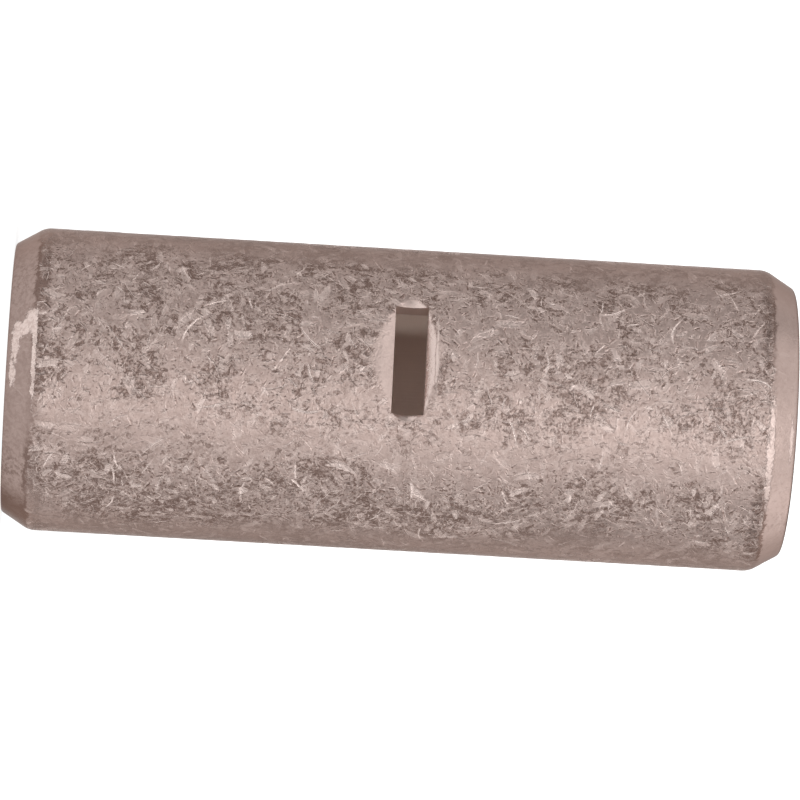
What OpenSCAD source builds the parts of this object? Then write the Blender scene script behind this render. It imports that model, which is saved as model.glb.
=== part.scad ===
// Compression splice: one seamless tin-plated copper tube that joins two stranded
// conductors end to end. Each conductor goes in at one mouth until it shows in the
// window at mid-length, and the barrel is then crimped on both sides of the window.
// Millimetres. The tube stands on its lower end face, with its axis on Z, and the
// window faces -Y.

/* [Tube] */
// Overall length
tube_len = 44.45; // [30:0.05:90]
// Diameter of the bore that takes the conductor
bore_d = 14.25; // [10:0.05:20]
// Thickness of the tube wall
wall = 1.5; // [1.3:0.05:3]

/* [Ends] */
// Radial depth of the outside chamfer at each end
chamfer_depth = 1; // [0.5:0.05:1.2]
// Slope of the chamfer, measured from the tube axis
chamfer_angle = 31.5; // [20:0.5:50]
// Radius of the shoulder between the barrel and the chamfer
shoulder_r = 1.7; // [0.2:0.1:3]
// Radius of the rim between the chamfer and the end face
rim_r = 0.3; // [0.1:0.05:0.4]
// Leg of the 45 degree lead-in at each mouth of the bore
mouth_leg = 0.15; // [0.1:0.05:0.25]

/* [Window] */
// Size of the punched window along the tube
window_w = 1.85; // [1.4:0.05:4]
// Size of the punched window across the barrel
window_len = 6.25; // [3:0.05:8]
// Height of the window's middle above mid-length
window_offset = 0.3; // [-3:0.1:3]

/* [Lip that the punch drew in] */
// Plain edge left between the lip and each corner of the window
corner_land = 0.1; // [0.05:0.05:0.3]
// Width of the lip below the window
lip_run_low = 1.5; // [0.9:0.1:2.5]
// Width of the lip above the window
lip_run_high = 0.9; // [0.6:0.1:2.5]
// Depth of the lip at the middle of a short edge
end_lip_drop = 0.5; // [0.2:0.05:0.7]
// Width of the lip at the middle of a short edge
end_lip_run = 0.55; // [0.3:0.05:1]
// Turn from the barrel into a lip, as a share of the lip's mean slope
lip_ease = 0.4; // [0.2:0.05:0.8]

/* [Hidden] */
$fn = 96;

bore_r = bore_d / 2;
barrel_r = bore_r + wall;
chamfer_run = chamfer_depth / tan(chamfer_angle);
// Flat left on the end face between the chamfer and the bore's lead-in
end_land = wall - chamfer_depth - mouth_leg;
// Angle at which a rounded corner's arc leaves the straight lines beside it
round_break = 5;
// The rim's radius may take at most this share of that flat
rim_share = 0.8;
rim_turn = 90 - chamfer_angle;
rim_r_fit = min(rim_r, rim_share * end_land / round_run(rim_turn, 1));

window_z = tube_len / 2 + window_offset;
half_w = window_w / 2;
half_len = window_len / 2;
// The punch presses each long edge flat, down to the level of the edge's two ends
lip_drop = crown_sag(half_len - corner_land);
// How far a cutter reaches past the surface that it cuts
clear = 1;
// How far a lip's cutter runs into the window, and past the line where it leaves the
// barrel: little enough that its arc has not come down to the barrel again
overlap = corner_land / 2;

// Fall of the barrel's surface below its crown line, at a distance x from that line
function crown_sag(x) = barrel_r - sqrt(barrel_r * barrel_r - x * x);

// Slope of the barrel's surface there
function crown_slope(x) = -asin(x / barrel_r);

// Point at distance d from p in direction a
function polar_step(p, a, d) = p + d * [cos(a), sin(a)];

// Distance from a corner to the start of a round of radius r that turns the outline
function round_run(turn, r) = r * sin(turn / 2 - round_break) / cos(turn / 2);

// A lip's arc climbs from the window's edge at the origin to the point top on the barrel,
// whose own slope there is known: slope, radius and centre of the arc at that point
function lip_slope(top, barrel_slope) =
    barrel_slope + lip_ease * (atan2(top.y, top.x) - barrel_slope);
function lip_radius(top, slope) = norm(top) / (2 * sin(atan2(top.y, top.x) - slope));
function lip_centre(top, slope) = polar_step(top, slope - 90, lip_radius(top, slope));

// Cutter that rounds the outside corner p to a radius r, where the outline arrives in
// direction a and turns left by the angle turn: the sector of a disc beyond its arc
module corner_cutter(p, a, turn, r) {
    start = polar_step(p, a, -round_run(turn, r));
    centre = polar_step(start, a + round_break + 90, r);
    reach = r + clear;
    difference() {
        polygon([
            centre,
            polar_step(centre, a - 90, reach),
            polar_step(centre, a - 90 + turn / 2, reach / cos(turn / 2)),
            polar_step(centre, a - 90 + turn, reach)
        ]);
        translate(centre) circle(r);
    }
}

// Upper half of the tube's wall section: x is the distance from the axis, and y the
// height above mid-length
module half_wall_section() {
    top = tube_len / 2;
    shoulder = [barrel_r, top - chamfer_run];
    rim = [barrel_r - chamfer_depth, top];
    up = 90;
    difference() {
        polygon([
            [bore_r, 0],
            [barrel_r, 0],
            shoulder,
            rim,
            [bore_r + mouth_leg, top],
            [bore_r, top - mouth_leg]
        ]);
        corner_cutter(shoulder, up, chamfer_angle, shoulder_r);
        corner_cutter(rim, up + chamfer_angle, rim_turn, rim_r_fit);
    }
}

module tube() {
    translate([0, 0, tube_len / 2]) rotate_extrude() {
        half_wall_section();
        mirror([0, 1]) half_wall_section();
    }
}

// Section of the space over a long edge's lip: x leads away from the window's edge,
// and y outwards from that edge
module long_lip_section(run) {
    top = [run, lip_drop];
    slope = lip_slope(top, 0);
    difference() {
        translate([-overlap, -overlap]) square([run + 2 * overlap, lip_drop + clear]);
        translate(lip_centre(top, slope)) circle(lip_radius(top, slope));
    }
}

// Space over the lips of both long edges, one straight sweep across the barrel
module long_lips() {
    translate([0, -barrel_r + lip_drop, 0]) rotate([90, 0, 90])
        linear_extrude(window_len, center = true) rotate(90) {
            translate([half_w, 0]) long_lip_section(lip_run_high);
            mirror([1, 0]) translate([half_w, 0]) long_lip_section(lip_run_low);
        }
}

// Space over the lip of the +X short edge: a round scoop that bends down into the
// window and runs out at the window's corners
module short_lip() {
    far_x = half_len + end_lip_run;
    edge_y = -barrel_r + crown_sag(half_len) + end_lip_drop;
    top = [end_lip_run, crown_sag(half_len) + end_lip_drop - crown_sag(far_x)];
    slope = lip_slope(top, crown_slope(far_x));
    bend_r = lip_radius(top, slope);
    centre = lip_centre(top, slope);
    scoop_half_w = half_w - corner_land;
    scoop_r = (scoop_half_w * scoop_half_w + end_lip_drop * end_lip_drop) / (2 * end_lip_drop);
    translate([half_len, edge_y, 0]) intersection() {
        translate([centre.x, -centre.y, 0]) rotate_extrude()
            translate([bend_r + scoop_r, 0]) circle(scoop_r);
        translate([-overlap, -top.y - clear, -half_w - clear])
            cube([end_lip_run + 2 * overlap, top.y + clear + overlap, window_w + 2 * clear]);
    }
}

// Everything that the punch took out of the barrel's -Y side, with its middle at z = 0
module window_cut() {
    translate([-half_len, -barrel_r - clear, -half_w])
        cube([window_len, barrel_r + clear, window_w]);
    long_lips();
    short_lip();
    mirror([1, 0, 0]) short_lip();
}

module splice_body() {
    color("rosybrown") difference() {
        tube();
        translate([0, 0, window_z]) window_cut();
    }
}

splice_body();
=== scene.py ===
# %% [markdown]
# # A compression splice
# The object is one short tube of copper with a thin coat of tin. Two cables are pushed in
# from its two ends until they meet at the small window, and a press squeezes the tube shut
# on them. The CAD model gives the exact size. This lesson gives it the look of a real one:
# a drawn tube with turned ends, a punched window with rolled lips, and the thousands of
# small marks that it got when it was tumbled in a drum with hundreds of others.

# %% Load the CAD model as a fixed frame
import math
import random

import bmesh
import bpy
from mathutils import Matrix, Vector
from mathutils.kdtree import KDTree


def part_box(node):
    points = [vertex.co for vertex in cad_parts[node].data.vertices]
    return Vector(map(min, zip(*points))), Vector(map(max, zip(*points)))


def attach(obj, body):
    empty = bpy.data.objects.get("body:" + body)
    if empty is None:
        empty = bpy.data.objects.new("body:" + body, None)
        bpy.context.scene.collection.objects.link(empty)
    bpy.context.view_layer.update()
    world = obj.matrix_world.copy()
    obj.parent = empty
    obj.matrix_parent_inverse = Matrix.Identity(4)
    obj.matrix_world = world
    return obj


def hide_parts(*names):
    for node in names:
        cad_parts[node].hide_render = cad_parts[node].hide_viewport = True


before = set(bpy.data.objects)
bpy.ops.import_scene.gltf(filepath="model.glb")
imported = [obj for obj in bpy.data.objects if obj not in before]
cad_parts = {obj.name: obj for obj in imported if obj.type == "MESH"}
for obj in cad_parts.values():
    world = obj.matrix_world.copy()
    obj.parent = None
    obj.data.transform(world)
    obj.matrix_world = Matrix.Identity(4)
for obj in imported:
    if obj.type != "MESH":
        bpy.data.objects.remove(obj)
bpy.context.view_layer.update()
print("CAD nodes:", sorted(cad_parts))

# %% [markdown]
# ## The camera
# A product photographer stands a long way off with a long lens, so that the tube shows
# almost no perspective. The tube stands on its lower end here, and the picture lies on its
# side: the camera is rolled by about a right angle, and a few degrees more, because the
# tube was not quite level. The three camera axes are worked out one from another, which is
# easier to check than three turns in a row.

# %% Place the camera
MM = 0.001
CAMERA_SIDE = math.radians(16.4)
CAMERA_DISTANCE = 367 * MM
CAMERA_HEIGHT = 9.48 * MM
AIM_HEIGHT = 22.36 * MM
AXIS_TILT = math.radians(3.33)
SENSOR_WIDTH = 36
LENS = 289.2
NEAREST = 10 * MM
FARTHEST = 10


def level_way(side):
    """Level direction at an angle round the tube, where 0 is the side of the window."""
    return Vector((math.sin(side), -math.cos(side), 0))


to_camera = level_way(CAMERA_SIDE)
camera_spot = to_camera * CAMERA_DISTANCE + Vector((0, 0, CAMERA_HEIGHT))
aim = Vector((0, 0, AIM_HEIGHT))
back = (camera_spot - aim).normalized()
tube_across = (Vector((0, 0, 1)) - back * back.z).normalized()
tube_up = back.cross(tube_across)
right = tube_across * math.cos(AXIS_TILT) + tube_up * math.sin(AXIS_TILT)
up = tube_up * math.cos(AXIS_TILT) - tube_across * math.sin(AXIS_TILT)

camera_data = bpy.data.cameras.new("camera")
camera_data.sensor_width = SENSOR_WIDTH
camera_data.lens = LENS
camera_data.clip_start = NEAREST
camera_data.clip_end = FARTHEST
camera = bpy.data.objects.new("camera", camera_data)
camera_turn = Matrix((right, up, back)).transposed().to_4x4()
camera.matrix_world = Matrix.Translation(camera_spot) @ camera_turn
bpy.context.scene.collection.objects.link(camera)
bpy.context.scene.camera = camera
print("camera at", [round(v, 4) for v in camera.location])

# %% [markdown]
# ## The wall of the tube
# The factory cuts the tube from drawn stock and turns a chamfer on each end. So the wall is
# one outline swept round the axis. The outline needs only eight corners, and the Bevel
# operator rounds four of them: the two shoulders and the two rims. The work is done in
# millimetres and scaled at the end. A skin of two thousandths is left all round, so that
# the finished tube stays inside the CAD model's box.

# %% Draw the outline of the wall
_, high_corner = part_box("splice_body")
SKIN = 0.002
TUBE_LEN = high_corner.z / MM - SKIN
FOOT = SKIN
BARREL_R = high_corner.x / MM - SKIN
BORE_R = 7.125
WALL_MIDDLE = (BORE_R + BARREL_R) / 2
CHAMFER_DEPTH = 1.0
CHAMFER_ANGLE = math.radians(31.5)
CHAMFER_RUN = CHAMFER_DEPTH / math.tan(CHAMFER_ANGLE)
MOUTH_LEG = 0.15
SHOULDER_CUT = 0.33
SHOULDER_PARTS = 5
RIM_CUT = 0.142
RIM_PARTS = 4


def lower_corners():
    """Corners of the wall's lower end, from the bore out to the barrel."""
    return [
        (BORE_R, FOOT + MOUTH_LEG),
        (BORE_R + MOUTH_LEG, FOOT),
        (BARREL_R - CHAMFER_DEPTH, FOOT),
        (BARREL_R, FOOT + CHAMFER_RUN),
    ]


def upper_corners():
    """The same corners at the upper end, from the barrel in to the bore."""
    return [(r, TUBE_LEN + FOOT - z) for r, z in reversed(lower_corners())]


tube = bmesh.new()
corners = [tube.verts.new((r, 0, z)) for r, z in lower_corners() + upper_corners()]
tube.faces.new(corners)
shoulders = [corners[3], corners[4]]
rims = [corners[2], corners[5]]
for group, cut, parts in ((shoulders, SHOULDER_CUT, SHOULDER_PARTS), (rims, RIM_CUT, RIM_PARTS)):
    bmesh.ops.bevel(
        tube,
        geom=group,
        offset=cut,
        offset_type="OFFSET",
        affect="VERTICES",
        segments=parts,
        profile=0.5,
        material=-1,
    )
bmesh.ops.delete(tube, geom=tube.faces[:], context="FACES_ONLY")
print("outline points:", len(tube.verts))

# %% [markdown]
# ## From the outline to the tube
# A long straight has points only at its ends, and a dent needs something to move. So
# Subdivide puts a point about every sixth of a millimetre along the barrel, and fewer along
# the chamfers and the bore. Spin then sweeps the outline once round the axis and merges its
# last copy with the first. A Screw modifier would give the same tube, but the cuts that
# come next need real faces.

# %% Put points along the outline and spin it
BARREL_ROWS = 250
CHAMFER_ROWS = 7
BORE_ROWS = 6
SPIN_STEPS = 320
MERGE_GAP = 0.001


def line_kind(edge):
    """Which straight of the outline an edge is."""
    a, b = (v.co for v in edge.verts)
    if abs(a.z - b.z) > TUBE_LEN / 2:
        return "barrel" if a.x > WALL_MIDDLE else "bore"
    return "chamfer" if (a - b).length > CHAMFER_DEPTH else "short"


for kind, rows in (("barrel", BARREL_ROWS), ("chamfer", CHAMFER_ROWS), ("bore", BORE_ROWS)):
    straights = [e for e in tube.edges if line_kind(e) == kind]
    bmesh.ops.subdivide_edges(tube, edges=straights, cuts=rows - 1)
bmesh.ops.spin(
    tube,
    geom=tube.verts[:] + tube.edges[:],
    cent=(0, 0, 0),
    axis=(0, 0, 1),
    angle=math.tau,
    steps=SPIN_STEPS,
    use_merge=True,
)
bmesh.ops.remove_doubles(tube, verts=tube.verts[:], dist=MERGE_GAP)
bmesh.ops.recalc_face_normals(tube, faces=tube.faces[:])
print("wall faces:", len(tube.faces))

# %% [markdown]
# ## The window
# A punch drives a narrow slot through one wall at mid-length. A Boolean could cut it, but
# four Bisect cuts leave clean straight edges in the grid that is already there: they draw
# the slot's outline on the outside and on the bore at once. The faces inside it go. The
# two short edges will be bent most, so the faces next to them are split once more.

# %% Cut the window
CAD_LEN = 44.45
WINDOW_OFFSET = 0.3
WINDOW_Z = CAD_LEN / 2 + WINDOW_OFFSET
WINDOW_W = 1.85
WINDOW_LEN = 6.25
HALF_W = WINDOW_W / 2
HALF_LEN = WINDOW_LEN / 2
CUT_MARGIN = 0.8
CUT_SNAP = 0.0005
FINE_ZONE = 0.9
FINE_CUTS = 2


def beside_window(point, margin):
    """True on the window's side of the tube, within a margin of its outline."""
    near_x = abs(point.x) < HALF_LEN + margin
    near_z = abs(point.z - WINDOW_Z) < HALF_W + margin
    return point.y < 0 and near_x and near_z


def faces_by_window(reach):
    """Faces on the window's side of the tube, up to a reach along it."""
    found = []
    for face in tube.faces:
        spot = face.calc_center_median()
        near = abs(spot.x) < HALF_LEN + CUT_MARGIN and abs(spot.z - WINDOW_Z) < reach
        if spot.y < 0 and near:
            found.append(face)
    return found


def cut_line(faces, spot, normal):
    """Draw one straight line of the window's outline through both walls."""
    edges = list(dict.fromkeys(e for f in faces for e in f.edges))
    verts = list(dict.fromkeys(v for f in faces for v in f.verts))
    geom = faces + edges + verts
    bmesh.ops.bisect_plane(tube, geom=geom, dist=CUT_SNAP, plane_co=spot, plane_no=normal)


for side in (-1, 1):
    cut_line(faces_by_window(TUBE_LEN), (0, 0, WINDOW_Z + side * HALF_W), (0, 0, 1))
for side in (-1, 1):
    cut_line(faces_by_window(HALF_W + CUT_MARGIN), (side * HALF_LEN, 0, 0), (1, 0, 0))
punched = [f for f in tube.faces if beside_window(f.calc_center_median(), 0)]
bmesh.ops.delete(tube, geom=punched, context="FACES")
short_lips = []
for face in faces_by_window(HALF_W):
    spot = face.calc_center_median()
    on_outside = math.hypot(spot.x, spot.y) > WALL_MIDDLE
    if on_outside and HALF_LEN < abs(spot.x) < HALF_LEN + FINE_ZONE:
        short_lips.append(face)
fine_edges = list(dict.fromkeys(e for f in short_lips for e in f.edges))
bmesh.ops.subdivide_edges(tube, edges=fine_edges, cuts=FINE_CUTS, use_grid_fill=True)
print("window: removed", len(punched), "faces of the two walls")

# %% [markdown]
# ## The cut walls
# The punch leaves four plain cut walls between the outside and the bore. They could be
# filled face by face, but Bridge joins the two chains of edges on each side of the window
# in one go. A part for a library has no holes, so the open edges are counted afterwards.

# %% Close the four cut walls
SNAP = 0.002


def on_side(vert, side, along_tube):
    """True for a point on one straight side of the window's outline."""
    if along_tube:
        return abs(vert.co.x - side * HALF_LEN) < SNAP
    return abs(vert.co.z - WINDOW_Z - side * HALF_W) < SNAP


openings = [e for e in tube.edges if e.is_boundary]
cut_walls = []
for along_tube in (False, True):
    for side in (-1, 1):
        chains = [e for e in openings if all(on_side(v, side, along_tube) for v in e.verts)]
        cut_walls += bmesh.ops.bridge_loops(tube, edges=chains)["faces"]
bmesh.ops.recalc_face_normals(tube, faces=tube.faces[:])
open_edges = sum(1 for e in tube.edges if not e.is_manifold)
print("cut walls:", len(cut_walls), "faces, open edges left:", open_edges)

# %% [markdown]
# ## The shape of the lips
# The punch drags the metal in before it shears it, so the edges of the window are rolled
# in: each long edge is pressed flat, and each short edge has a small scoop. The lips are
# arcs in the CAD model, and they are worked out here in the same way from the window's own
# sizes. Only the two scoops are a little shallower, each by its own drop and run, because
# that is how they catch the light.

# %% Work out the arcs of the lips
CORNER_LAND = 0.1
LIP_RUN_LOW = 1.5
LIP_RUN_HIGH = 0.9
END_LIP_DROPS = {-1: 0.25, 1: 0.41}
END_LIP_RUNS = {-1: 0.75, 1: 0.55}
LIP_EASE = 0.4


def crown_sag(x):
    """Fall of the barrel's surface below its crown line, at a distance x from it."""
    return BARREL_R - math.sqrt(BARREL_R**2 - x**2)


def lip_arc(run, rise, barrel_slope):
    """Centre and radius of the arc that climbs from a window edge to the barrel."""
    chord = math.atan2(rise, run)
    slope = barrel_slope + LIP_EASE * (chord - barrel_slope)
    radius = math.hypot(run, rise) / (2 * math.sin(chord - slope))
    return run + radius * math.sin(slope), rise - radius * math.cos(slope), radius


def end_lip(side):
    """Arc, drop and edge depth of the drawn-in short edge on one side."""
    drop, run = END_LIP_DROPS[side], END_LIP_RUNS[side]
    far = HALF_LEN + run
    edge = crown_sag(HALF_LEN) + drop
    arc = lip_arc(run, edge - crown_sag(far), -math.asin(far / BARREL_R))
    return arc, drop, edge


lip_drop = crown_sag(HALF_LEN - CORNER_LAND)
low_arc = lip_arc(LIP_RUN_LOW, lip_drop, 0)
high_arc = lip_arc(LIP_RUN_HIGH, lip_drop, 0)
end_lips = {side: end_lip(side) for side in (-1, 1)}
print("long edges pressed in by", round(lip_drop, 3), "mm")

# %% [markdown]
# ## Rolling the lips in
# Every point near the window moves in to the deeper of two surfaces, the barrel and the
# arc, with a soft change from one to the other. Sculpting would do it too, but would not
# meet the CAD model. How far a point moved is kept twice: in a table for the dents, and as
# an attribute on the mesh, so that the material can polish the lips.

# %% Roll the lips in
LIP_BLEND = 0.08
LIP_ZONE = 1.8
LIP_FULL = 0.12
PLAIN_END = 0.7
EDGE_SLACK = 0.01
SCOOP_MARGIN = 0.1
NO_LIP = -1


def long_lip_depth(z):
    """Depth of a long edge's lip below the crown, at a height z beside the window."""
    gap = abs(z - WINDOW_Z) - HALF_W
    below = z < WINDOW_Z
    run = LIP_RUN_LOW if below else LIP_RUN_HIGH
    across, rise, radius = low_arc if below else high_arc
    if gap < -EDGE_SLACK or gap > run:
        return NO_LIP
    return lip_drop - rise - math.sqrt(radius**2 - (max(gap, 0) - across) ** 2)


def short_lip_depth(x, z):
    """Depth of a short edge's scoop below the crown, at a place beside the window."""
    gap = abs(x) - HALF_LEN
    offset = abs(z - WINDOW_Z)
    side = 1 if x > 0 else -1
    (across, rise, bend_r), drop, edge = end_lips[side]
    if gap < -EDGE_SLACK or gap > END_LIP_RUNS[side] + SCOOP_MARGIN or offset > HALF_W:
        return NO_LIP
    scoop_rise = drop * (offset / HALF_W) ** 2
    bend_r = math.hypot(across, math.sqrt(bend_r**2 - across**2) + scoop_rise)
    return edge - rise - math.sqrt(bend_r**2 - (max(gap, 0) - across) ** 2)


def soft_deeper(a, b, blend):
    """The larger of two depths, rounded where they cross."""
    near = max(blend - abs(a - b), 0) / blend
    return max(a, b) + near * near * blend / 4


lip_layer = tube.verts.layers.float.new("lip")
lip_depths = {}
for vert in tube.verts:
    on_outside = math.hypot(vert.co.x, vert.co.y) > WALL_MIDDLE
    if not on_outside or not beside_window(vert.co, LIP_ZONE):
        continue
    barrel_depth = vert.co.y + BARREL_R
    lip = max(long_lip_depth(vert.co.z), short_lip_depth(vert.co.x, vert.co.z))
    new_depth = soft_deeper(barrel_depth, lip, LIP_BLEND)
    lip_depths[vert.index] = new_depth - barrel_depth
    smoothness = PLAIN_END if vert.co.x > HALF_LEN else 1
    vert[lip_layer] = smoothness * min((new_depth - barrel_depth) / LIP_FULL, 1)
    vert.co.y = new_depth - BARREL_R
print("deepest lip:", round(max(lip_depths.values()), 3), "mm")

# %% [markdown]
# ## The dents from the drum
# Tumbling beats the soft tin with the ends and edges of the other tubes, so the outside is
# covered with shallow strikes in every direction. The larger ones are real shape here: a
# seeded list of strikes, each an oval hollow in the grid. A KD-tree finds the few points
# that each one touches. The smooth lips of the window are left as the punch made them.

# %% Beat the dents in
DENT_COUNT = 7000
DENT_SEED = 41
DENT_LENGTH = (0.3, 0.9)
DENT_WIDTH = (0.2, 0.36)
DENT_DEPTH = (0.004, 0.018)
LIP_CLEAR = 0.15
OUTSIDE_R = BORE_R + 0.3

tube.normal_update()
tube.verts.index_update()
outside = [v for v in tube.verts if math.hypot(v.co.x, v.co.y) > OUTSIDE_R]
finder = KDTree(len(outside))
for place, vert in enumerate(outside):
    finder.insert(vert.co, place)
finder.balance()
draw = random.Random(DENT_SEED)
pushes = [0.0] * len(outside)
for _ in range(DENT_COUNT):
    turn_angle = draw.uniform(0, math.tau)
    spot = Vector((math.cos(turn_angle), math.sin(turn_angle), 0)) * BARREL_R
    spot.z = draw.uniform(0, TUBE_LEN)
    centre, place, _gap = finder.find(spot)
    length = draw.uniform(*DENT_LENGTH)
    width = draw.uniform(*DENT_WIDTH)
    depth = draw.uniform(*DENT_DEPTH)
    slant = draw.uniform(0, math.pi)
    normal = outside[place].normal
    level = Vector((0, 0, 1)).cross(normal).normalized()
    steep = normal.cross(level)
    along = level * math.cos(slant) + steep * math.sin(slant)
    across = normal.cross(along)
    for co, touched, _gap in finder.find_range(centre, length):
        step = co - centre
        reach = (step.dot(along) / length) ** 2 + (step.dot(across) / width) ** 2
        if reach < 1:
            pushes[touched] = max(pushes[touched], depth * (1 - reach) ** 2)
for vert, push in zip(outside, pushes):
    left_open = max(1 - lip_depths.get(vert.index, 0) / LIP_CLEAR, 0)
    vert.co -= vert.normal * (push * left_open)
print("dents:", DENT_COUNT, "deepest", round(max(pushes), 4), "mm")

# %% [markdown]
# ## Worn and calm patches
# The shoulders stick out most, so they took the hardest knocks: on a few stretches the dull
# skin is rubbed bright. Other patches of the barrel were spared, and the marks are fainter
# there. The calm patches round the front are painted highlight: the marks fade there as under
# the glare of the key lamp. Both could be painted by hand. Here each is a soft oval in an
# attribute of the mesh, given by its heading round the tube, its height and its two half
# sizes, and the material breaks up its edge. Headings are in degrees from the front, the
# side that faces the camera.

# %% Paint the worn and the calm patches
FRONT_SIDE = math.radians(16.4)
FRONT = math.degrees(FRONT_SIDE) - 90
WEAR_SPOTS = [
    (FRONT - 10, 1.54, 27, 0.17),
    (FRONT - 23, 1.3, 7, 0.5),
    (FRONT - 20, 0.8, 5, 0.6),
    (FRONT - 14, 0.45, 12, 0.3),
    (FRONT - 2, 0.35, 9, 0.25),
    (FRONT + 12, 42.95, 32, 0.30),
    (FRONT + 8, 44.15, 13, 0.12),
    (FRONT - 17, WINDOW_Z + 1.50, 20, 0.16),
    (FRONT + 130, 1.2, 26, 0.5),
    (FRONT + 215, 1.4, 18, 0.6),
    (FRONT + 150, 42.9, 20, 0.4),
    (FRONT + 250, 43.1, 28, 0.5),
]
# The first four calm patches, round the front, are painted highlight; the last three are spared
# patches.
CALM_SPOTS = [
    (FRONT + 18, 9, 14, 13),
    (FRONT + 18, 24, 11, 11),
    (FRONT + 16, 36, 15, 8),
    (FRONT + 1, 22, 9, 6),
    (FRONT + 120, 25, 20, 14),
    (FRONT + 205, 12, 24, 10),
    (FRONT + 265, 33, 16, 9),
]


def paint_spots(name, spots):
    """Paint soft oval patches on the outside of the tube as an attribute."""
    layer = tube.verts.layers.float.new(name)
    for vert in tube.verts:
        if math.hypot(vert.co.x, vert.co.y) < OUTSIDE_R:
            continue
        heading = math.degrees(math.atan2(vert.co.y, vert.co.x))
        for towards, height, half_turn, half_height in spots:
            aside = (heading - towards + 180) % 360 - 180
            reach = (aside / half_turn) ** 2 + ((vert.co.z - height) / half_height) ** 2
            vert[layer] = max(vert[layer], 1 - reach)
    print(name, "patches:", len(spots))


paint_spots("wear", WEAR_SPOTS)
paint_spots("calm", CALM_SPOTS)

# %% [markdown]
# ## Hand the mesh over
# The bmesh becomes an ordinary mesh object in metres. It rides on the CAD model's one body
# and stands for its one node. Edges that turn by more than about 30 degrees stay sharp. The
# bore and the cut walls get the second material, because nothing beat them.

# %% Make the object
SHARP_ANGLE = math.radians(30)
INSIDE = 1
for face in tube.faces:
    face.smooth = True
    if all(math.hypot(v.co.x, v.co.y) < BORE_R + SNAP for v in face.verts):
        face.material_index = INSIDE
for face in cut_walls:
    face.material_index = INSIDE
for edge in tube.edges:
    edge.smooth = edge.calc_face_angle(0) < SHARP_ANGLE
bmesh.ops.scale(tube, vec=(MM, MM, MM), verts=tube.verts[:])
splice_mesh = bpy.data.meshes.new("splice_tube")
tube.to_mesh(splice_mesh)
tube.free()
splice = bpy.data.objects.new("splice_tube", splice_mesh)
bpy.context.scene.collection.objects.link(splice)
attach(splice, "root")
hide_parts("splice_body")
triangles = sum(len(p.vertices) - 2 for p in splice_mesh.polygons)
print("splice_tube:", triangles, "triangles")

# %% [markdown]
# ## Shader nodes in a few words
# A material is a graph, and a graph of a hundred nodes is easier to read as short lines of
# code. One helper adds a node and feeds its sockets, and three do arithmetic with numbers
# and vectors. One fades softly between two limits, and one makes fractal noise.

# %% Write the node helpers


def place_node(tree, kind, feeds=None, **options):
    """Add a node, set its options, and feed its sockets with links or plain values."""
    made = tree.nodes.new(kind)
    for option, value in options.items():
        setattr(made, option, value)
    for socket, feed in (feeds or {}).items():
        if isinstance(feed, bpy.types.NodeSocket):
            tree.links.new(feed, made.inputs[socket])
        else:
            made.inputs[socket].default_value = feed
    return made


def number(tree, operation, *feeds):
    """Arithmetic with numbers."""
    made = place_node(tree, "ShaderNodeMath", dict(enumerate(feeds)), operation=operation)
    return made.outputs[0]


def vector(tree, operation, *feeds):
    """Arithmetic with vectors."""
    made = place_node(tree, "ShaderNodeVectorMath", dict(enumerate(feeds)), operation=operation)
    return made.outputs["Value" if operation in ("DOT_PRODUCT", "LENGTH") else "Vector"]


def scaled(tree, feed, factor):
    """A vector times a number."""
    made = place_node(tree, "ShaderNodeVectorMath", {0: feed, "Scale": factor}, operation="SCALE")
    return made.outputs["Vector"]


def fade(tree, value, low, high, at_low=0.0, at_high=1.0):
    """A soft change from one level to another while a value goes from low to high."""
    feeds = {"Value": value, "From Min": low, "From Max": high, "To Min": at_low, "To Max": at_high}
    made = place_node(tree, "ShaderNodeMapRange", feeds, interpolation_type="SMOOTHSTEP")
    return made.outputs["Result"]


def cloud(tree, point, per_mm, detail, roughness, output="Fac"):
    """Fractal noise with a number of lumps per millimetre."""
    feeds = {"Vector": point, "Scale": per_mm, "Detail": detail, "Roughness": roughness}
    return place_node(tree, "ShaderNodeTexNoise", feeds, noise_dimensions="3D").outputs[output]


print("node helpers ready")

# %% [markdown]
# ## Where a point lies on the tube
# Finishes follow the tube and not the room, so the materials often ask the same things: how
# high up the tube a point lies, which way is outward there, and how far a value is from a
# given one. A clamp keeps a mask between nothing and all.

# %% Write the helpers for places on the tube
UPWARD = (0, 0, 1)
LEVEL_ONLY = (1, 1, 0)


def up_from_foot(tree, point):
    """Height along the tube."""
    return vector(tree, "DOT_PRODUCT", point, UPWARD)


def off_axis(tree, point):
    """The part of a place that is square to the axis."""
    return vector(tree, "MULTIPLY", point, LEVEL_ONLY)


def outward(tree, point):
    """Direction from the axis to a place."""
    return vector(tree, "NORMALIZE", off_axis(tree, point))


def away_from(tree, value, level):
    """How far a value is from a level, on either side."""
    return number(tree, "ABSOLUTE", number(tree, "SUBTRACT", value, level))


def rest_of(tree, share):
    """What a share leaves of the whole."""
    return number(tree, "SUBTRACT", 1.0, share)


def clamped(tree, value):
    """A value kept between 0 and 1."""
    return number(tree, "MAXIMUM", number(tree, "MINIMUM", value, 1.0), 0.0)


print("place helpers ready")

# %% [markdown]
# ## Seeds for the fine strikes
# The fine marks are far too many for the mesh, so the material presses them in as bump.
# They could be painted as an image, but a group of nodes gives as many as are wanted, at
# any size. A Voronoi texture scatters one seed in each cell of space. Distances from it are
# taken along the surface, round the tube and up it, so a mark does not depend on how deep
# below the skin its seed lies. The cell's random colour turns each mark its own way.

# %% Start the group of strikes at its seeds


def new_group(name, inputs, outputs):
    """An empty node group with named sockets, and its inputs ready for use."""
    tree = bpy.data.node_groups.new(name, "ShaderNodeTree")
    for label, kind in inputs.items():
        tree.interface.new_socket(label, in_out="INPUT", socket_type="NodeSocket" + kind)
    for label in outputs:
        tree.interface.new_socket(label, in_out="OUTPUT", socket_type="NodeSocketFloat")
    return tree, place_node(tree, "NodeGroupInput").outputs


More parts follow.
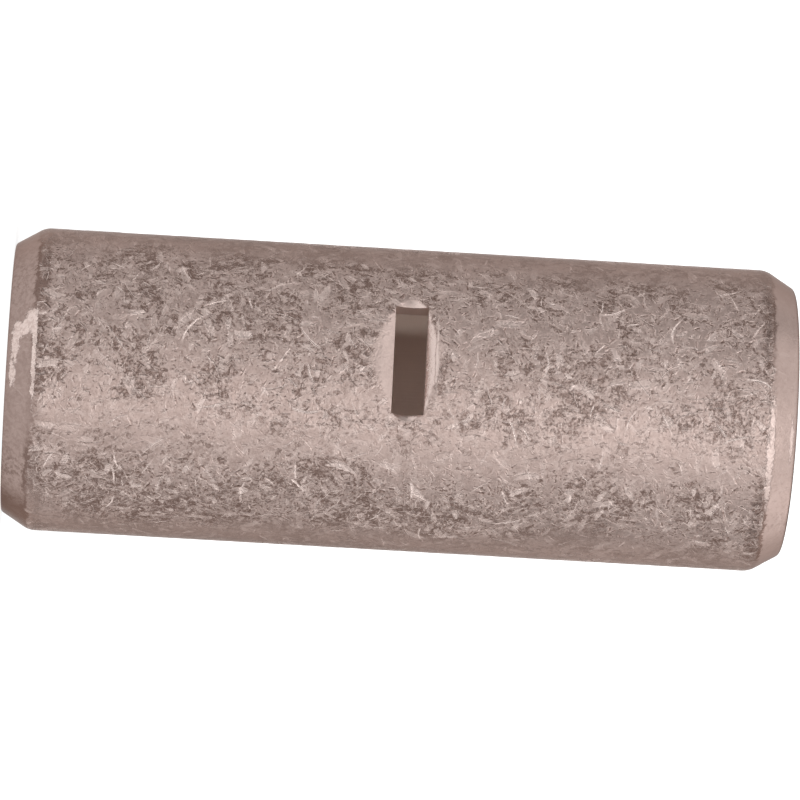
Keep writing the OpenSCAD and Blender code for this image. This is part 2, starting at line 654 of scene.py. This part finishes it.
strikes, entry = new_group(
    "strike_layer",
    {"Point": "Vector", "Shift": "Vector", "Cell": "Float", "Length": "Float", "Width": "Float"},
    ["Groove", "Facet", "Burr", "Chance", "Tone"],
)
inverse_cell = number(strikes, "DIVIDE", 1.0, entry["Cell"])
in_cells = vector(strikes, "ADD", scaled(strikes, entry["Point"], inverse_cell), entry["Shift"])
seeds = place_node(
    strikes,
    "ShaderNodeTexVoronoi",
    {"Vector": in_cells, "Scale": 1.0, "Randomness": 1.0},
    voronoi_dimensions="3D",
    feature="F1",
).outputs
from_seed = vector(strikes, "SUBTRACT", in_cells, seeds["Position"])
from_seed = scaled(strikes, from_seed, entry["Cell"])
level = vector(strikes, "CROSS_PRODUCT", UPWARD, outward(strikes, entry["Point"]))
round_tube = vector(strikes, "DOT_PRODUCT", from_seed, level)
up_tube = up_from_foot(strikes, from_seed)
chances = place_node(strikes, "ShaderNodeSeparateColor", {"Color": seeds["Color"]}).outputs
slant = number(strikes, "MULTIPLY", chances[0], math.tau)
slant_cos = number(strikes, "COSINE", slant)
slant_sin = number(strikes, "SINE", slant)
along = number(strikes, "MULTIPLY", round_tube, slant_cos)
along = number(strikes, "MULTIPLY_ADD", up_tube, slant_sin, along)
across = number(strikes, "MULTIPLY", round_tube, slant_sin)
across = number(strikes, "SUBTRACT", number(strikes, "MULTIPLY", up_tube, slant_cos), across)
print("seeds placed with", len(strikes.nodes), "nodes")

# %% [markdown]
# ## The form of one strike
# An edge that slides leaves a groove with a burr along one side, and an edge that lands
# flat leaves an oval facet. The group gives both, and each material layer picks one. The
# random colour also bends the mark, sets its size, says how light it is, and gives the
# chance by which a layer leaves a strike out.

# %% Finish the group of strikes
BEND = 0.6
SMALLEST = 0.3
SIZE_RANGE = 0.8
FLAT_PART = 0.7
BURR_PLACE = 1.2
BURR_REACH = 0.6
CHANCE_MIX = (3.1, 5.7)

bow = number(strikes, "MULTIPLY", number(strikes, "SUBTRACT", chances[1], 0.5), BEND)
across = number(strikes, "MULTIPLY_ADD", number(strikes, "MULTIPLY", along, along), bow, across)
size = number(strikes, "POWER", chances[2], 2.0)
size = number(strikes, "MULTIPLY_ADD", size, SIZE_RANGE, SMALLEST)
half_length = number(strikes, "MULTIPLY", entry["Length"], size)
half_width = number(strikes, "MULTIPLY", entry["Width"], number(strikes, "SQRT", size))
end_gap = number(strikes, "POWER", number(strikes, "DIVIDE", along, half_length), 2.0)
taper = fade(strikes, end_gap, 1.0, 0.0)
aside = number(strikes, "DIVIDE", across, half_width)
oval = number(strikes, "MULTIPLY_ADD", aside, aside, end_gap)
valley = number(strikes, "MAXIMUM", rest_of(strikes, number(strikes, "ABSOLUTE", aside)), 0.0)
burr = fade(strikes, away_from(strikes, aside, BURR_PLACE), BURR_REACH, 0.0)
mixed = number(strikes, "MULTIPLY", chances[2], CHANCE_MIX[1])
mixed = number(strikes, "MULTIPLY_ADD", chances[0], CHANCE_MIX[0], mixed)
leave = {
    "Groove": number(strikes, "MULTIPLY", taper, valley),
    "Facet": fade(strikes, oval, 1.0, FLAT_PART),
    "Burr": number(strikes, "MULTIPLY", taper, burr),
    "Chance": number(strikes, "FRACT", mixed),
    "Tone": number(strikes, "POWER", chances[1], 2.0),
}
place_node(strikes, "NodeGroupOutput", leave)
print("strike_layer nodes:", len(strikes.nodes))

# %% [markdown]
# ## The ground of the beaten skin
# In the drum the high spots are rubbed to smooth light plateaus, and the low spots between
# them stay rough and collect a dark film. One noise could not show both, so several work
# together. A fractal noise, bent by a second one, decides what is high and what is low. One
# with broad lumps says how hard each region was beaten, and finer ones add a swell, specks,
# mottle and grain. The group takes an amount, which is small where the skin was spared.

# %% Start the group of the beaten skin
BENDING = 0.2
DRAWN_OUT = (1, 1, 0.75)
LOW_DEPTH = 0.018
SPECK_DEPTH = 0.014
GRAIN_HEIGHT = 0.012
SWELL_HEIGHT = 0.06
FILM_OF = {"hard": 0.13, "low": 0.50, "mottle": 0.40, "grain": 1.5, "speck": 0.42}
PLATEAU_RUB = 0.20

skin, entry = new_group(
    "beaten_skin", {"Point": "Vector", "Amount": "Float"}, ["Height", "Film", "Rubbed"]
)
point, amount = entry["Point"], entry["Amount"]
bending = vector(skin, "SUBTRACT", cloud(skin, point, 2.4, 3, 0.6, "Color"), (0.5, 0.5, 0.5))
bent = vector(skin, "ADD", point, scaled(skin, bending, BENDING))
hard = fade(skin, cloud(skin, point, 0.42, 3, 0.55), 0.38, 0.62)
hard = number(skin, "MULTIPLY", hard, amount)
often = number(skin, "MULTIPLY_ADD", hard, 0.62, 0.38)
low_noise = cloud(skin, vector(skin, "MULTIPLY", bent, DRAWN_OUT), 2.1, 7, 0.67)
low_line = number(skin, "MULTIPLY_ADD", hard, -0.14, 0.60)
above_line = number(skin, "SUBTRACT", low_noise, low_line)
broken = fade(skin, cloud(skin, bent, 6.0, 3, 0.6), 0.34, 0.54, 0.30, 1.0)
beaten_here = fade(skin, amount, 0.1, 0.7)
low = number(skin, "MULTIPLY", fade(skin, above_line, -0.02, 0.05), broken)
low = number(skin, "MULTIPLY", low, beaten_here)
plateau = number(skin, "MULTIPLY", fade(skin, above_line, -0.09, -0.03), beaten_here)
plateau = number(skin, "MULTIPLY", plateau, rest_of(skin, low))
specks = fade(skin, cloud(skin, bent, 6.0, 4, 0.65), 0.52, 0.62)
specks = number(skin, "MULTIPLY", number(skin, "MULTIPLY", specks, often), amount)
mottle = fade(skin, cloud(skin, bent, 4.0, 5, 0.70), 0.45, 0.57)
swell = cloud(skin, point, 1.1, 2, 0.5)
grain = cloud(skin, point, 9.0, 3, 0.6)
fine = number(skin, "MULTIPLY", number(skin, "SUBTRACT", grain, 0.5), amount)

height = number(skin, "MULTIPLY", low, -LOW_DEPTH)
height = number(skin, "MULTIPLY_ADD", specks, -SPECK_DEPTH, height)
height = number(skin, "MULTIPLY_ADD", grain, GRAIN_HEIGHT, height)
height = number(skin, "MULTIPLY_ADD", swell, number(skin, "MULTIPLY", amount, SWELL_HEIGHT), height)
film = number(skin, "MULTIPLY", hard, FILM_OF["hard"])
film = number(skin, "MULTIPLY_ADD", low, FILM_OF["low"], film)
film = number(skin, "MULTIPLY_ADD", number(skin, "MULTIPLY", mottle, often), FILM_OF["mottle"], film)
film = number(skin, "MULTIPLY_ADD", fine, FILM_OF["grain"], film)
film = number(skin, "MULTIPLY_ADD", specks, FILM_OF["speck"], film)
rubbed = number(skin, "MULTIPLY", plateau, PLATEAU_RUB)
print("ground of the skin:", len(skin.nodes), "nodes")

# %% [markdown]
# ## Five layers of strikes
# On the real skin long bright scratches and wide flat flakes lie among small chips, nicks
# and ticks. Each kind is one layer of strikes with its own cell size, in millimetres, and
# its own shift, so that no two layers share their seeds. A layer presses its marks in,
# raises their burrs, darkens or cleans the film, and lightens what it rubbed. The group
# gives three values: the height in millimetres, how dark the film is, and how bright a spot
# has been rubbed.

# %% Lay the strikes on the skin
LAYERS = {
    "scratch": {"Cell": 1.7, "Length": 1.15, "Width": 0.050, "Shift": (0.0, 0.0, 0.0)},
    "flake": {"Cell": 1.5, "Length": 1.00, "Width": 0.200, "Shift": (7.3, 1.1, 4.2)},
    "chip": {"Cell": 0.86, "Length": 0.56, "Width": 0.130, "Shift": (3.9, 6.2, 1.7)},
    "nick": {"Cell": 0.62, "Length": 0.36, "Width": 0.085, "Shift": (2.7, 9.4, 5.5)},
    "tick": {"Cell": 0.36, "Length": 0.20, "Width": 0.065, "Shift": (5.1, 3.3, 8.8)},
}
SHAPES = {"scratch": "Groove", "flake": "Facet", "chip": "Facet", "nick": "Groove", "tick": "Groove"}
DEPTHS = {"scratch": 0.032, "flake": 0.022, "chip": 0.018, "nick": 0.032, "tick": 0.023}
SHARE = {"scratch": 1.0, "flake": 0.9, "chip": 0.9, "nick": 1.0, "tick": 1.0}
FILM = {"scratch": 0.30, "flake": 0.0, "chip": 0.0, "nick": 0.72, "tick": 0.52}
CLEAN = {"scratch": 0.0, "flake": 0.75, "chip": 0.70, "nick": 0.0, "tick": 0.0}
LIGHT = {"scratch": 1.7, "flake": 0.44, "chip": 0.34, "nick": 0.0, "tick": 0.0}
RUB = {"scratch": 0.75, "flake": 0.32, "chip": 0.30, "nick": 0.36, "tick": 0.26}
BURR_SHARE = 0.5
CHANCE_EDGE = 0.04

reach = number(skin, "MULTIPLY_ADD", hard, 0.28, 0.72)
for name, settings in LAYERS.items():
    layer = place_node(skin, "ShaderNodeGroup", {"Point": bent, **settings}, node_tree=strikes).outputs
    allowed = number(skin, "MULTIPLY", reach, SHARE[name])
    missing = number(skin, "SUBTRACT", layer["Chance"], allowed)
    there = number(skin, "MULTIPLY", fade(skin, missing, CHANCE_EDGE, -CHANCE_EDGE), amount)
    mark = number(skin, "MULTIPLY", layer[SHAPES[name]], there)
    burr = number(skin, "MULTIPLY", layer["Burr"], there)
    height = number(skin, "MULTIPLY_ADD", mark, -DEPTHS[name], height)
    height = number(skin, "MULTIPLY_ADD", burr, DEPTHS[name] * BURR_SHARE, height)
    kept = number(skin, "MULTIPLY_ADD", mark, -CLEAN[name], 1.0)
    film = number(skin, "MULTIPLY_ADD", mark, FILM[name], number(skin, "MULTIPLY", film, kept))
    rubbed = number(skin, "MULTIPLY_ADD", burr, RUB[name], rubbed)
    tone = number(skin, "MULTIPLY", mark, layer["Tone"])
    rubbed = number(skin, "MULTIPLY_ADD", tone, LIGHT[name], rubbed)
leave = {
    "Height": height,
    "Film": clamped(skin, film),
    "Rubbed": number(skin, "MINIMUM", rubbed, 1.0),
}
place_node(skin, "NodeGroupOutput", leave)
print("beaten_skin nodes:", len(skin.nodes))

# %% [markdown]
# ## The tumbled tin: where it is calm
# Tin over copper is a dull pinkish grey metal. The chamfers were turned on a lathe and the
# punch drew the lips of the window, so both are smooth, and the spared patches are calmer
# than the rest, as are the patches of painted highlight round the front. A mask with hard
# edges would look like tape, so a noise frays every edge.
# What is left over is the amount of beating that the skin group gets.

# %% Say where the tin is calm
EDGE_TINT = (0.59, 0.515, 0.485, 1)
CHAMFER_EDGE = TUBE_LEN / 2 - CHAMFER_RUN
FRAY = 0.95
TURNED_CALM = 0.95
LIP_CALM = 0.9
CALMED = 0.92
PATCH_LEFT = 0.56


def new_metal(name):
    """A metal material with its node tree, its shader and the place in millimetres."""
    made = bpy.data.materials.new(name)
    made.use_nodes = True
    tree = made.node_tree
    shader = tree.nodes["Principled BSDF"]
    shader.inputs["Metallic"].default_value = 1.0
    shader.inputs["Specular Tint"].default_value = EDGE_TINT
    object_spot = place_node(tree, "ShaderNodeTexCoord").outputs["Object"]
    return made, tree, shader, scaled(tree, object_spot, 1 / MM)


def painted(tree, name):
    """A patch that was painted on the mesh."""
    return place_node(tree, "ShaderNodeAttribute", attribute_name=name).outputs["Fac"]


tin, tree, shader, point = new_metal("tumbled_tin")
up_tube = up_from_foot(tree, point)
ragged = number(tree, "SUBTRACT", cloud(tree, point, 1.3, 4, 0.65), 0.5)
from_middle = away_from(tree, up_tube, TUBE_LEN / 2)
from_middle = number(tree, "MULTIPLY_ADD", ragged, FRAY, from_middle)
turned = fade(tree, from_middle, CHAMFER_EDGE - 0.05, CHAMFER_EDGE + 0.2)
lip_noise = cloud(tree, point, 3.0, 4, 0.65)
lip = number(tree, "MULTIPLY_ADD", lip_noise, 1.2, painted(tree, "lip"))
lip = fade(tree, lip, 0.60, 1.55)
calm = number(tree, "MULTIPLY", turned, TURNED_CALM)
calm = number(tree, "MAXIMUM", calm, number(tree, "MULTIPLY", lip, LIP_CALM))
calm_patch = number(tree, "MULTIPLY_ADD", lip_noise, 0.8, painted(tree, "calm"))
calm_patch = fade(tree, calm_patch, 0.40, 1.2, 1.0, PATCH_LEFT)
amount = rest_of(tree, number(tree, "MULTIPLY", calm, CALMED))
amount = number(tree, "MULTIPLY", amount, calm_patch)
feeds = {"Point": point, "Amount": amount}
beaten = place_node(tree, "ShaderNodeGroup", feeds, node_tree=skin).outputs
print("calm parts of the tin:", len(tree.nodes), "nodes")

# %% [markdown]
# ## The film and the painted shade on the barrel
# Handling and air leave a brown film in the low spots, a little heavier towards the foot, and
# it is gone where the shoulders are worn. A band just before the chamfers is painted shade,
# stronger away from the front. The film is also painted paler at the front, the side that
# faces the camera, and darker with more contrast on the flanks, most of all on one: painted
# shade. The Geometry node could tell what faces the camera, but then the shade would slide
# when the view turns. So its place comes from the direction round the tube, and stays.

# %% Lay the film on the barrel
FLANK_SHADE_GAIN = 1.36

front_way = level_way(FRONT_SIDE)
flank_way = Vector(UPWARD).cross(front_way)
radial = outward(tree, point)
from_front = rest_of(tree, vector(tree, "DOT_PRODUCT", radial, tuple(front_way)))
from_front = number(tree, "MULTIPLY_ADD", ragged, 0.16, from_front)
towards_flank = vector(tree, "DOT_PRODUCT", radial, tuple(flank_way))
flank = fade(tree, towards_flank, 0.40, 0.64, 1.0, FLANK_SHADE_GAIN)

wear_noise = cloud(tree, point, 3.2, 6, 0.75)
worn = number(tree, "SUBTRACT", painted(tree, "wear"), 1.2)
worn = fade(tree, number(tree, "MULTIPLY_ADD", wear_noise, 2.4, worn), 0.35, 0.6)
not_worn = rest_of(tree, worn)

# Painted shade: a darker band just before the chamfers, stronger away from the front.
shaded = fade(tree, from_middle, CHAMFER_EDGE - 0.7, CHAMFER_EDGE - 0.3)
shade_end = fade(tree, from_middle, CHAMFER_EDGE + 0.40, CHAMFER_EDGE + 0.1)
shaded = number(tree, "MULTIPLY", shaded, shade_end)
shaded = number(tree, "MULTIPLY", shaded, fade(tree, from_front, 0.03, 0.20, 0.25, 0.6))
film = number(tree, "ADD", shaded, beaten["Film"])
film = number(tree, "ADD", film, fade(tree, up_tube, 0.0, TUBE_LEN, 0.10, -0.06))
film = number(tree, "MULTIPLY", film, not_worn)
# Painted shade: paler film at the front, darker film with more contrast on the flanks, most on one.
shade_gain = number(tree, "MULTIPLY", fade(tree, from_front, 0.0, 0.3, 0.95, 1.75), flank)
shade_offset = fade(tree, from_front, 0.0, 0.3, -0.03, -0.17)
film = clamped(tree, number(tree, "MULTIPLY_ADD", film, shade_gain, shade_offset))
print("film on the barrel:", len(tree.nodes), "nodes")

# %% [markdown]
# ## Calm bands and dull ends
# ## Washed bands and darker ends
# Between the front and the back the tube has a band on each side, near its outline as seen
# from the front, where the marks are shallow and faint under an even darker tone: a painted
# grazing reflection that washes the marks out, with painted shade at the outline. A broad
# noise makes the edges of the bands wander, so that they never show as stripes. The turned
# ends are darker too: the foot with painted shade, most of all on one flank, and the head
# darker towards its top, up to a dark line at its rim.

# %% Lay the washed bands and darken the ends
BAND_WASH = 0.62
BAND_SHADE = 0.20
FOOT_SHADE = 0.25
HEAD_DARKENING = 0.20
RIM_LINE_DARKENING = 0.5
FLANK_FOOT_SHADE = 4.0

wander = number(tree, "SUBTRACT", cloud(tree, point, 0.17, 3, 0.55), 0.5)
near_edge = number(tree, "MULTIPLY_ADD", wander, 0.9, from_front)
far_edge = number(tree, "MULTIPLY_ADD", wander, 1.5, from_front)
# Painted grazing reflection and painted shade: near the outline seen from the front, marks fade and
# the tone darkens.
band = fade(tree, near_edge, 0.33, 0.58)
band = number(tree, "MULTIPLY", band, fade(tree, far_edge, 1.20, 0.80))
marks_unwashed = rest_of(tree, number(tree, "MULTIPLY", band, BAND_WASH))
barrel_band = number(tree, "MULTIPLY", band, rest_of(tree, turned))
film = number(tree, "MULTIPLY", film, marks_unwashed)
film = number(tree, "MULTIPLY_ADD", barrel_band, BAND_SHADE, film)

# The head darkens towards its top, with a dark line at its rim; the foot gets painted shade, most of
# all on one flank.
turned_darkening = number(tree, "MULTIPLY", turned, not_worn)
head_darkening = fade(tree, up_tube, TUBE_LEN / 2, TUBE_LEN, 0.0, HEAD_DARKENING)
rim_line = fade(tree, up_tube, TUBE_LEN - 0.18, TUBE_LEN - 0.04, 0.0, RIM_LINE_DARKENING)
head_darkening = number(tree, "MULTIPLY", turned_darkening, number(tree, "ADD", head_darkening, rim_line))
foot_shade = number(tree, "MULTIPLY", turned_darkening, fade(tree, up_tube, TUBE_LEN / 2, 0.0))
foot_shade_flank = fade(tree, towards_flank, 0.70, 0.92, 1.0, FLANK_FOOT_SHADE)
foot_shade = number(tree, "MULTIPLY", foot_shade, foot_shade_flank)
film = number(tree, "ADD", film, head_darkening)
film = number(tree, "MULTIPLY_ADD", foot_shade, FOOT_SHADE, film)
film = number(tree, "MINIMUM", film, 1.0)
print("bands and ends:", len(tree.nodes), "nodes")

# %% [markdown]
# ## What is rubbed bright, and the painted highlight
# Three things are lighter than the tin round them: the marks that the skin group calls
# rubbed, the worn patches, which are chipped and not smooth, and the lips of the window. The
# rubbed marks are painted a little lighter at the front, a painted highlight, and stronger
# on the flank with the most painted shade. The lips are partly burnished by the punch and
# partly painted highlight, the upper lip more than the lower. Each gives a mask, and the
# strongest wins, because a spot is not rubbed twice.

# %% Rub the high spots
LOW_WEAR = 0.95
HIGH_WEAR = 0.40
LOW_LIP_SHINE = 0.20
HIGH_LIP_SHINE = 0.66

# Painted highlight: rubbed marks a little lighter at the front, and stronger on the flank with the
# most painted shade.
rubbed = number(tree, "MULTIPLY", beaten["Rubbed"], fade(tree, from_front, 0.05, 0.30, 1.15, 1.05))
rubbed = number(tree, "MULTIPLY", rubbed, flank)
rubbed = number(tree, "MINIMUM", number(tree, "MULTIPLY", rubbed, marks_unwashed), 1.0)
chips = cloud(tree, point, 5.5, 4, 0.7)
patchy = number(tree, "MULTIPLY", worn, fade(tree, chips, 0.40, 0.56, 0.45, 1.0))
wear_shine = fade(tree, up_tube, 0.0, TUBE_LEN, LOW_WEAR, HIGH_WEAR)
rubbed = number(tree, "MAXIMUM", rubbed, number(tree, "MULTIPLY", patchy, wear_shine))
# The lips: partly burnished by the punch, partly painted highlight, the upper lip more.
lip_burnish_and_highlight = fade(tree, up_tube, WINDOW_Z - 0.5, WINDOW_Z + 0.5, LOW_LIP_SHINE, HIGH_LIP_SHINE)
rubbed = number(tree, "MAXIMUM", rubbed, number(tree, "MULTIPLY", lip, lip_burnish_and_highlight))
print("rubbed spots:", len(tree.nodes), "nodes")

# %% [markdown]
# ## Colour, gloss and relief of the tin
# The film and the painted shade darken the tin towards brown, and rubbing and the painted
# highlight make it lighter and smoother. The lathe left faint rings on the chamfers: a noise
# that is stretched round the tube and short along it. All of the fine relief goes into one
# Bump node with its height in millimetres.

# %% Mix the tumbled tin
TIN = (0.457, 0.349, 0.316, 1)
TIN_FILMED_AND_SHADED = (0.18, 0.121, 0.103, 1)
TIN_RUBBED_AND_HIGHLIT = (0.74, 0.61, 0.565, 1)
TIN_ROUGHNESS = 0.32
SMOOTHER = -0.06
RING_STRETCH = (0.2, 0.2, 6.0)
RING_HEIGHT = 0.004
CHIP_HEIGHT = 0.03


def blend(tree, factor, first, second):
    """A colour between two others."""
    feeds = {"Fac": factor, "Color1": first, "Color2": second}
    return place_node(tree, "ShaderNodeMixRGB", feeds).outputs["Color"]


def press_in(tree, shader, height):
    """Give a metal its fine relief, from a height in millimetres."""
    bump = place_node(tree, "ShaderNodeBump", {"Height": height, "Distance": MM, "Strength": 1.0})
    tree.links.new(bump.outputs["Normal"], shader.inputs["Normal"])


# The dark colour carries the brown film and the painted shade; the light one carries rubbed marks,
# wear and painted highlight.
colour = blend(tree, film, TIN, TIN_FILMED_AND_SHADED)
tree.links.new(blend(tree, rubbed, colour, TIN_RUBBED_AND_HIGHLIT), shader.inputs["Base Color"])
roughness = number(tree, "MULTIPLY_ADD", film, SMOOTHER, TIN_ROUGHNESS)
roughness = number(tree, "MULTIPLY_ADD", rubbed, SMOOTHER, roughness)
tree.links.new(roughness, shader.inputs["Roughness"])
ring_noise = cloud(tree, vector(tree, "MULTIPLY", point, RING_STRETCH), 1.0, 3, 0.6)
rings = number(tree, "MULTIPLY", number(tree, "MULTIPLY", ring_noise, turned), RING_HEIGHT)
height = number(tree, "MULTIPLY", number(tree, "ADD", beaten["Height"], rings), marks_unwashed)
height = number(tree, "MULTIPLY_ADD", number(tree, "MULTIPLY", worn, chips), CHIP_HEIGHT, height)
press_in(tree, shader, height)
splice_mesh.materials.append(tin)
print("tumbled_tin nodes:", len(tree.nodes))

# %% [markdown]
# ## The bore: painted light and shade behind the window
# Nothing beat the inside: it is still as bright as it came out of the drawing die. On the
# far wall that the window shows, a brown patch is painted shade, and a lighter strip beside
# it is painted light. Both are placed by their direction round the tube and fade out along
# it. A plain gradient would show a straight edge, so a noise shifts it.

# %% Place the painted shade and light in the bore
LIT_SIDE = math.radians(156)
SHADED_SIDE = math.radians(113)
LINE_STRETCH = (5.0, 5.0, 0.15)

bore, tree, shader, point = new_metal("drawn_bore")
streaks = cloud(tree, vector(tree, "MULTIPLY", point, LINE_STRETCH), 1.0, 4, 0.6)
clouds = cloud(tree, point, 0.3, 4, 0.6)
radial = outward(tree, point)
# Painted light: a lighter strip on the far wall that the window shows.
lit_way = (math.cos(LIT_SIDE), math.sin(LIT_SIDE), 0)
bore_light = fade(tree, vector(tree, "DOT_PRODUCT", radial, lit_way), 0.940, 0.995)
# Painted shade: a brown patch on the far wall opposite the window.
shaded_way = (math.cos(SHADED_SIDE), math.sin(SHADED_SIDE), 0)
shaded_across = (-math.sin(SHADED_SIDE), math.cos(SHADED_SIDE), 0)
bore_shade = fade(tree, vector(tree, "DOT_PRODUCT", radial, shaded_way), 0.0, 0.3)
aside = vector(tree, "DOT_PRODUCT", radial, shaded_across)
aside = number(tree, "MULTIPLY_ADD", number(tree, "SUBTRACT", clouds, 0.5), 0.25, aside)
bore_shade = number(tree, "MULTIPLY", bore_shade, fade(tree, aside, 0.56, 0.40))
bore_shade = number(tree, "MULTIPLY", bore_shade, fade(tree, aside, -0.90, -0.15))
up_bore = up_from_foot(tree, point)
from_window = away_from(tree, up_bore, WINDOW_Z)
from_window = number(tree, "MULTIPLY_ADD", clouds, 6.0, from_window)
near_window = fade(tree, from_window, 12.0, 6.5)
bore_light = number(tree, "MULTIPLY", bore_light, near_window)
bore_shade = number(tree, "MULTIPLY", bore_shade, near_window)
print("painted_shade_and_light of the bore:", len(tree.nodes), "nodes")

# %% [markdown]
# ## Colour, gloss and relief of the bore
# The die left fine lines along the tube and a thin film here and there. Towards the mouths
# the colour is darker. The walls of the window share the material: they lie farther from the
# axis than the bore, and there they are painted darker, a painted shade on the cut faces.

# %% Mix the drawn bore
BORE_TIN = (0.96, 0.90, 0.86, 1)
BORE_FILMED = (0.90, 0.81, 0.77, 1)
BORE_LIGHT = (0.99, 0.90, 0.84, 1)
BORE_MOUTH = (0.74, 0.63, 0.58, 1)
BORE_SHADE = (0.47, 0.37, 0.33, 1)
CUT_WALL_SHADE = (0.72, 0.59, 0.545, 1)
BORE_ROUGHNESS = 0.50
FILM_ROUGHNESS = 0.10
LINE_HEIGHT = 0.01

film = fade(tree, number(tree, "MULTIPLY_ADD", streaks, 0.4, clouds), 0.6, 0.85)
colour = blend(tree, film, BORE_TIN, BORE_FILMED)
# The painted shade and the painted light of the far wall go over the bore's colour.
colour = blend(tree, bore_shade, colour, BORE_SHADE)
colour = blend(tree, bore_light, colour, BORE_LIGHT)
from_middle = away_from(tree, up_bore, TUBE_LEN / 2)
mouth = fade(tree, from_middle, TUBE_LEN / 2 - 8, TUBE_LEN / 2 - 2)
colour = blend(tree, mouth, colour, BORE_MOUTH)
from_axis = vector(tree, "LENGTH", off_axis(tree, point))
# Painted shade: the cut walls of the window are painted darker.
cut = fade(tree, from_axis, BORE_R + 0.02, BORE_R + 0.12)
tree.links.new(blend(tree, cut, colour, CUT_WALL_SHADE), shader.inputs["Base Color"])
roughness = number(tree, "MULTIPLY_ADD", film, FILM_ROUGHNESS, BORE_ROUGHNESS)
tree.links.new(roughness, shader.inputs["Roughness"])
press_in(tree, shader, number(tree, "MULTIPLY", streaks, LINE_HEIGHT))
splice_mesh.materials.append(bore)
print("drawn_bore nodes:", len(tree.nodes))

# %% [markdown]
# ## The studio
# A white floor, a white card behind the tube and a pale grey room. Metal shows what is
# round it, so the room matters as much as the lamps. The floor and the card could be lit
# until they are white, but that light would reach the tube too. They glow a little instead,
# and only where the camera or a mirror sees them.

# %% Build the floor, the card and the room
FLOOR_SIZE = 2.0
FLOOR_WHITE = 0.3
FLOOR_GLOW = 0.8
CARD_SIZE = 0.3
CARD_WHITE = 0.5
CARD_GLOW = 1.0
CARD_DISTANCE = 0.6
ROOM_GREY = (0.5, 0.5, 0.5, 1)


def white_stage(name, white, glow):
    """A white matt material that also glows a little where it is seen or mirrored."""
    made = bpy.data.materials.new(name)
    made.use_nodes = True
    tree = made.node_tree
    tree.nodes.clear()
    path = place_node(tree, "ShaderNodeLightPath").outputs
    seen = path["Is Camera Ray"]
    for ray in ("Is Glossy Ray", "Is Transmission Ray"):
        feeds = {0: seen, 1: path[ray]}
        seen = place_node(tree, "ShaderNodeMath", feeds, operation="ADD", use_clamp=True).outputs[0]
    matt = place_node(tree, "ShaderNodeBsdfDiffuse", {"Color": (white, white, white, 1)})
    strength = number(tree, "MULTIPLY", seen, glow)
    glowing = place_node(tree, "ShaderNodeEmission", {"Strength": strength})
    both = place_node(tree, "ShaderNodeAddShader", {0: matt.outputs[0], 1: glowing.outputs[0]})
    place_node(tree, "ShaderNodeOutputMaterial", {"Surface": both.outputs[0]})
    return made


def stage_plane(name, size, place, material):
    """A square plane that is part of the studio."""
    grid = bmesh.new()
    bmesh.ops.create_grid(grid, x_segments=1, y_segments=1, size=size / 2)
    bmesh.ops.transform(grid, matrix=place, verts=grid.verts[:])
    mesh = bpy.data.meshes.new(name)
    grid.to_mesh(mesh)
    grid.free()
    mesh.materials.append(material)
    made = bpy.data.objects.new(name, mesh)
    bpy.context.scene.collection.objects.link(made)
    return made


floor_white = white_stage("floor_white", FLOOR_WHITE, FLOOR_GLOW)
stage_plane("floor", FLOOR_SIZE, Matrix.Translation((0, 0, 0)), floor_white)
card_turn = to_camera.to_track_quat("Z", "Y").to_matrix().to_4x4()
card_place = Matrix.Translation(-to_camera * CARD_DISTANCE) @ card_turn
card_white = white_stage("card_white", CARD_WHITE, CARD_GLOW)
stage_plane("card", CARD_SIZE, card_place, card_white)

world = bpy.data.worlds.new("room")
world.use_nodes = True
world.node_tree.nodes["Background"].inputs["Color"].default_value = ROOM_GREY
world.node_tree.nodes["Background"].inputs["Strength"].default_value = 1.0
bpy.context.scene.world = world
bpy.context.scene.view_settings.view_transform = "Standard"
print("studio: floor, card and", world.name)

# %% [markdown]
# ## The lamps
# One big soft box stands next to the camera and a wider, weaker one behind it. Smaller ones
# light the brow, the flanks and the back, so that the tube reads as round from every side,
# and one hangs above. A lamp's energy grows with its size, so each is given by how bright
# its face is, in the same measure as the room. Each row says how many degrees it stands
# round from the camera, how far off and how high, its width and length, and that level.

# %% Hang the lamps
LAMPS = [
    ("key", 13, 0.7, 0.48, (0.66, 1.0), 0.90),
    ("fill", 13, 0.8, 0.4, (2.0, 1.0), 0.45),
    ("brow", -33, 0.75, 0.58, (0.5, 0.5), 0.2),
    ("flank", 100, 0.75, 0.68, (0.8, 0.7), 0.8),
    ("far", -102, 0.75, 0.62, (0.8, 0.7), 0.2),
    ("back_low", 138, 0.9, 0.38, (0.9, 0.7), 0.55),
    ("back_high", -142, 0.9, 0.38, (0.9, 0.7), 0.44),
]
WHITE_LIGHT = (1, 1, 1)
TINTS = {"key": (0.97, 1, 1)}
TOP_SPOT = Vector((0, -0.1, 0.9))
TOP_SIZE = (1.5, 1.5)
TOP_LEVEL = 0.7
tube_middle = Vector((0, 0, TUBE_LEN / 2 * MM))


def soft_box(name, spot, size, radiance):
    """An area lamp, wide and high, that looks at the middle of the tube."""
    wide, high = size
    data = bpy.data.lights.new(name, "AREA")
    data.shape = "RECTANGLE"
    data.size = wide
    data.size_y = high
    data.energy = radiance * math.pi * wide * high
    data.color = TINTS.get(name, WHITE_LIGHT)
    lamp = bpy.data.objects.new(name, data)
    look = (tube_middle - spot).to_track_quat("-Z", "Y")
    lamp.matrix_world = Matrix.Translation(spot) @ look.to_matrix().to_4x4()
    bpy.context.scene.collection.objects.link(lamp)
    return lamp


for name, turn, distance, height, size, radiance in LAMPS:
    way = level_way(CAMERA_SIDE + math.radians(turn))
    soft_box(name, way * distance + Vector((0, 0, height)), size, radiance)
soft_box("top", TOP_SPOT, TOP_SIZE, TOP_LEVEL)
print("lamps:", len(bpy.data.lights))
